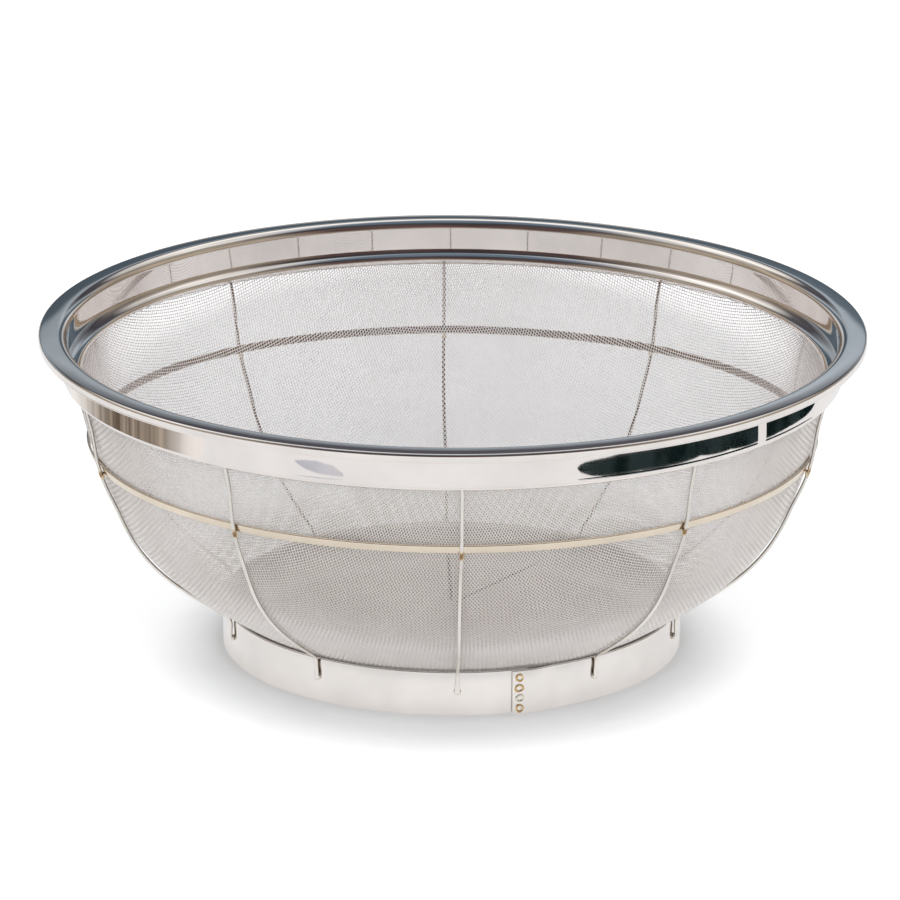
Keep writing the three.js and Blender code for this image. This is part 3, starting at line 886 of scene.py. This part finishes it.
def floor_material():
    """A white floor with painted shadow: greyer in a soft pool round the foot and in a longer one behind the
    bowl, and dark inside the foot; beside the foot it glows brighter in the steel's mirror, painted light.
    """
    material, tree, shader = node_material("floor_white")
    shader.inputs["Roughness"].default_value = 0.9
    shader.inputs["Emission Color"].default_value = (1, 1, 1, 1)
    place = put(tree, "TexCoord").outputs["Object"]

    def pool(centre, half, low, high):
        """1 within an ellipse on the floor, 0 outside, with a soft edge between two shares of its size."""
        share = vector(tree, "DIVIDE", vector(tree, "SUBTRACT", place, (*centre, 0)), (*half, 1))
        return spread(tree, vector(tree, "LENGTH", share), low, high, 1.0, 0.0, True)

    # Painted shadow: round the foot, behind the bowl and dark inside the foot, where the lift to white is
    # held back.
    near = product(tree, pool((0.0, -0.012), (0.122, 0.126), 0.72, 1.02), NEAR_SHARE)
    far = pool((0.007, 0.29), (0.16, 0.24), 0.86, 1.04)
    under = pool((0.0, 0.0), (FOOT_RADIUS, FOOT_RADIUS), 0.90, 0.99)
    beside = calc(tree, "SUBTRACT", pool((0.0, 0.0), (0.19, 0.19), 0.7, 1.0), under)
    base = blend(tree, under, opaque(FLOOR_COLOUR), opaque(FOOT_SHADE_COLOUR))
    tree.links.new(base, shader.inputs["Base Color"])
    shadow_pools = calc(tree, "MAXIMUM", calc(tree, "MAXIMUM", near, far), under)
    rays = put(tree, "LightPath").outputs
    fill = product(tree, calc(tree, "SUBTRACT", 1.0, shadow_pools), FLOOR_FILL, rays["Is Camera Ray"])
    mirrored = spread(tree, beside, 0.0, 1.0, MIRROR_FILL, FOOT_FILL)
    mirrored = product(tree, mirrored, rays["Is Glossy Ray"])
    tree.links.new(calc(tree, "ADD", fill, mirrored), shader.inputs["Emission Strength"])
    return material


corners = [(x * FLOOR_HALF, y * FLOOR_HALF) for x, y in ((-1, -1), (1, -1), (1, 1), (-1, 1))]
flat_piece("floor", corners, 0, floor_material())


def matt_material(name):
    """A new material without gloss, its node tree and its shader."""
    material, tree, shader = node_material(name)
    shader.inputs["Roughness"].default_value = 1
    shader.inputs["Specular IOR Level"].default_value = 0
    return material, tree, shader


def card_material(name, colour, second, scale):
    """A matt card of two clouded colours."""
    material, tree, shader = matt_material(name)
    cloud = noise(tree, put(tree, "TexCoord").outputs["Object"], scale, 3.0)
    mixed = blend(tree, spread(tree, cloud, 0.35, 0.65, smooth=True), opaque(colour), opaque(second))
    tree.links.new(mixed, shader.inputs["Base Color"])
    return material


def card(name, material, stations):
    """A card beside the object, for glossy rays alone: (angle in degrees, inner, outer radius) along it."""
    near = [outward_at(math.radians(angle))[:2] * inner for angle, inner, outer in stations]
    far = [outward_at(math.radians(angle))[:2] * outer for angle, inner, outer in stations]
    piece = flat_piece(name, [*map(tuple, near), *map(tuple, far[::-1])], CARD_HEIGHT, material)
    piece.visible_camera = False
    piece.visible_diffuse = False
    piece.visible_shadow = False


dark = card_material("dark_card", (0.004, 0.010, 0.010), (0.020, 0.032, 0.034), 28.0)
card("dark_card", dark, [
    (27.6, 0.3232, 0.3244), (28.4, 0.3208, 0.3266), (29.5, 0.3194, 0.328), (31, 0.318, 0.329),
    (33.2, 0.3172, 0.330), (38.3, 0.3172, 0.333), (43.6, 0.3192, 0.335), (52, 0.3208, 0.3395),
    (61, 0.325, 0.344), (71, 0.326, 0.3465), (81.4, 0.328, 0.3455),
])
card("dark_card_end", dark, [
    (84.8, 0.329, 0.346), (90, 0.331, 0.352), (96, 0.3345, 0.357), (101, 0.338, 0.3595),
    (105, 0.341, 0.36), (108.5, 0.3455, 0.36), (110.5, 0.350, 0.3585), (111.4, 0.354, 0.3565),
])
lavender = card_material("lavender_card", (0.50, 0.52, 0.60), (0.60, 0.62, 0.69), 40.0)
card("lavender_card", lavender, [
    (-38.6, 0.3262, 0.3272), (-36, 0.3218, 0.328), (-33, 0.3196, 0.3284), (-29, 0.3186, 0.3262),
    (-26.5, 0.3182, 0.3205),
])

BEIGE_DARK = (0.12, 0.095, 0.07)
BEIGE_LIGHT = (0.42, 0.365, 0.305)
BEIGE_END = (0.86, 0.85, 0.84)
BEIGE_FADES = ((-80, -66), (-100, -130))  # degrees from the front between which the card turns white
BEIGE_STATIONS = (-64, -72, -80, -88, -96, -104, -112, -120, -132)


def beige_material():
    """A beige card in streaks that run outward, fading to white at its two ends."""
    material, tree, shader = matt_material("beige_card")
    angle, _, _, _ = cylindrical(tree)
    inputs = {"W": angle, "Scale": 9.0, "Detail": 4.0, "Roughness": 0.7}
    streak = put(tree, "TexNoise", inputs, noise_dimensions="1D").outputs["Fac"]
    mixed = blend(tree, spread(tree, streak, 0.36, 0.66), opaque(BEIGE_DARK), opaque(BEIGE_LIGHT))
    for start, end in BEIGE_FADES:
        fade = spread(tree, angle, math.radians(start), math.radians(end), smooth=True)
        mixed = blend(tree, fade, mixed, opaque(BEIGE_END))
    tree.links.new(mixed, shader.inputs["Base Color"])
    return material


card("beige_card", beige_material(), [(angle, 0.29, 0.40) for angle in BEIGE_STATIONS])

# Camera, fitted to the circles of the rim, belt and foot
CAMERA_DISTANCE = 15.6 * RIM_RADIUS
CAMERA_ELEVATION = math.radians(19.627)
CAMERA_TURN = math.radians(-1.44)
LOOK_DOWN = math.radians(17.949)
LOOK_ASIDE = math.radians(0.022)
CAMERA_ROLL = math.radians(0.235)
FOCAL_PIXELS = 6356.4
IMAGE_PIXELS = 900
SENSOR = 36.0

camera_data = bpy.data.cameras.new("camera")
camera_data.sensor_width = SENSOR
camera_data.lens = SENSOR * FOCAL_PIXELS / IMAGE_PIXELS
camera_data.clip_end = 50
camera = bpy.data.objects.new("camera", camera_data)
bpy.context.scene.collection.objects.link(camera)
level = CAMERA_DISTANCE * math.cos(CAMERA_ELEVATION)
aim = CAMERA_TURN + LOOK_ASIDE
camera.matrix_world = (
    Matrix.Translation((level * math.sin(CAMERA_TURN), -level * math.cos(CAMERA_TURN),
                        CAMERA_DISTANCE * math.sin(CAMERA_ELEVATION)))
    @ Matrix.Rotation(aim, 4, "Z")
    @ Matrix.Rotation(math.pi / 2 - LOOK_DOWN, 4, "X")
    @ Matrix.Rotation(CAMERA_ROLL, 4, "Z")
)
bpy.context.scene.camera = camera

# Light: a white ceiling and a soft panel in front, while polished steel mirrors a dimmer room of its own
CEILING_LIGHT = (2.55, 2.55, 2.57)
CEILING_ASIDE = 0.02
CEILING_HALF = (0.35, 0.60)  # sideways and backward, as shares of a unit direction
PANEL_LIGHT = (2.4, 2.36, 2.33)

world = bpy.data.worlds.new("studio")
bpy.context.scene.world = world
world.use_nodes = True
studio = world.node_tree
toward = put(studio, "TexCoord").outputs["Generated"]
x, y, z = put(studio, "SeparateXYZ", {0: toward}).outputs


def heights(*stops):
    """Colours of a wall by height, as the sine of the elevation: (height, red, green, blue)."""
    node = put(studio, "ValToRGB", {0: z})
    ramp = node.color_ramp.elements
    for index, (height, *colour) in enumerate(stops):
        stop = ramp[index] if index < 2 else ramp.new(height)
        stop.position = height
        stop.color = opaque(colour)
    return node.outputs["Color"]


wall_behind = heights(
    (0.0, 0.10, 0.10, 0.10), (1.0, 0.14, 0.19, 0.25), (0.05, 0.50, 0.50, 0.50), (0.13, 0.55, 0.55, 0.54),
    (0.18, 0.08, 0.11, 0.14), (0.268, 0.11, 0.145, 0.18), (0.282, 0.36, 0.42, 0.475),
    (0.315, 0.40, 0.46, 0.52), (0.35, 0.22, 0.25, 0.28), (0.41, 0.07, 0.07, 0.085),
    (0.50, 0.10, 0.10, 0.11), (0.58, 0.75, 0.74, 0.72), (0.76, 1.10, 1.09, 1.07),
    (0.88, 0.85, 0.85, 0.85), (0.95, 0.20, 0.27, 0.35),
)
room_ahead = heights(
    (0.0, 0.50, 0.44, 0.39), (1.0, 0.14, 0.19, 0.25), (0.10, 0.26, 0.20, 0.165),
    (0.30, 0.10, 0.065, 0.06), (0.60, 0.09, 0.06, 0.055), (0.90, 0.06, 0.065, 0.08),
)
side_walls = heights((0.0, 0.30, 0.25, 0.19), (0.8, 0.30, 0.30, 0.28), (0.3, 0.44, 0.38, 0.30))
walls = blend(studio, spread(studio, y, -0.25, 0.3, smooth=True), room_ahead, wall_behind)
aside = calc(studio, "ABSOLUTE", x)
walls = blend(studio, spread(studio, aside, 0.5, 0.85, smooth=True), walls, side_walls)
patches = spread(studio, noise(studio, toward, 3.2, 1.5), 0.35, 0.65, 0.75, 1.25)
walls = put(studio, "VectorMath", {0: walls, "Scale": patches}, operation="SCALE").outputs[0]
sideways = calc(studio, "DIVIDE", calc(studio, "SUBTRACT", x, CEILING_ASIDE), CEILING_HALF[0])
backward = calc(studio, "DIVIDE", y, CEILING_HALF[1])
ceiling = spread(studio, hypotenuse(studio, sideways, backward), 0.86, 1.14, 1.0, 0.0, True)
ceiling = product(studio, ceiling, calc(studio, "GREATER_THAN", z, 0.0))
room = blend(studio, ceiling, walls, opaque(CEILING_LIGHT))
panel = product(
    studio,
    spread(studio, y, -0.30, -0.45, smooth=True),
    spread(studio, aside, 0.60, 0.35, smooth=True),
    spread(studio, z, 0.0, 0.06),
    spread(studio, z, 0.80, 0.70),
)
room = blend(studio, panel, room, opaque(PANEL_LIGHT))
rays = put(studio, "LightPath").outputs
shown = blend(studio, rays["Is Glossy Ray"], room, walls)
shown = blend(studio, rays["Is Camera Ray"], shown, (1, 1, 1, 1))
studio.links.new(shown, studio.nodes["Background"].inputs["Color"])
bpy.context.scene.view_settings.view_transform = "Standard"
